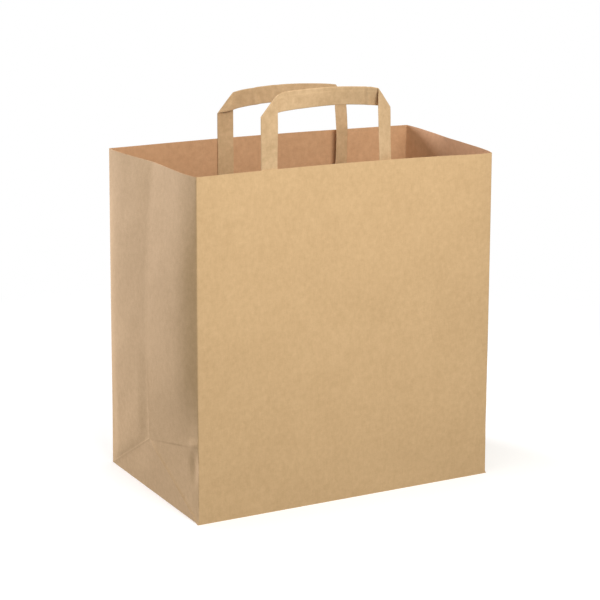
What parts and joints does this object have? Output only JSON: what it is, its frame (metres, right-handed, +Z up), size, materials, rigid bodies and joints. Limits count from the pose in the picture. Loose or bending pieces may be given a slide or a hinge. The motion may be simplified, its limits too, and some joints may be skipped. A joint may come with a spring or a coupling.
{
  "type": "paper carrier bag with flat handles",
  "caption": "Open brown paper carrier bag with gusseted sides, a folded block bottom and flat folded-paper strip handles glued inside the front and back panels.",
  "frame": {"origin": "on the floor under the middle of the standing bag", "axes": "+Z up, -Y out of the front panel, +X to the right as the front panel is seen"},
  "size_m": [0.3166, 0.1892, 0.373],
  "materials": {
    "bag_kraft": "matte",
    "handle_kraft": "matte",
    "patch_kraft": "matte"
  },
  "bodies": {
    "root": {"bag_body": "bag_kraft", "front_handle": "handle_kraft", "back_handle": "handle_kraft", "front_handle_patch": "patch_kraft", "back_handle_patch": "patch_kraft"}
  },
  "joints": []
}
